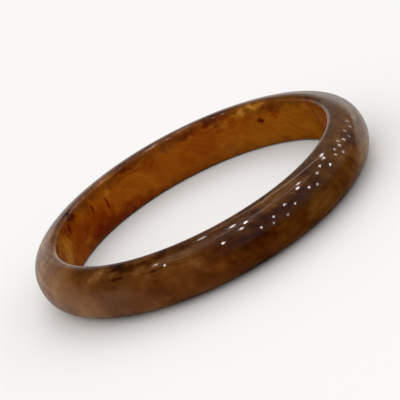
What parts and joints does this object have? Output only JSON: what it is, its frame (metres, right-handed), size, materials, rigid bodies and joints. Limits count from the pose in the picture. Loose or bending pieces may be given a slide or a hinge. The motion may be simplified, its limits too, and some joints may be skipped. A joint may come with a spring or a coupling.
{
  "type": "bangle",
  "caption": "Rigid closed bangle of polished translucent brown stone, flat inside and domed outside, slipped over the hand and worn on the wrist.",
  "frame": {"origin": "on the surface that the bangle lies on, under the middle of the hoop", "axes": "+Z is the hoop's own axis, pointing up from the side it lies on; X and Y are any two directions across the hoop, which is round"},
  "size_m": [0.0704, 0.0704, 0.0102],
  "materials": {
    "polished_stone": "glassy polish on brown translucent stone, clouded with smoky and honey-coloured zones, with a warmer amber bore"
  },
  "bodies": {
    "root": {"stone_hoop": "polished_stone"}
  },
  "joints": []
}
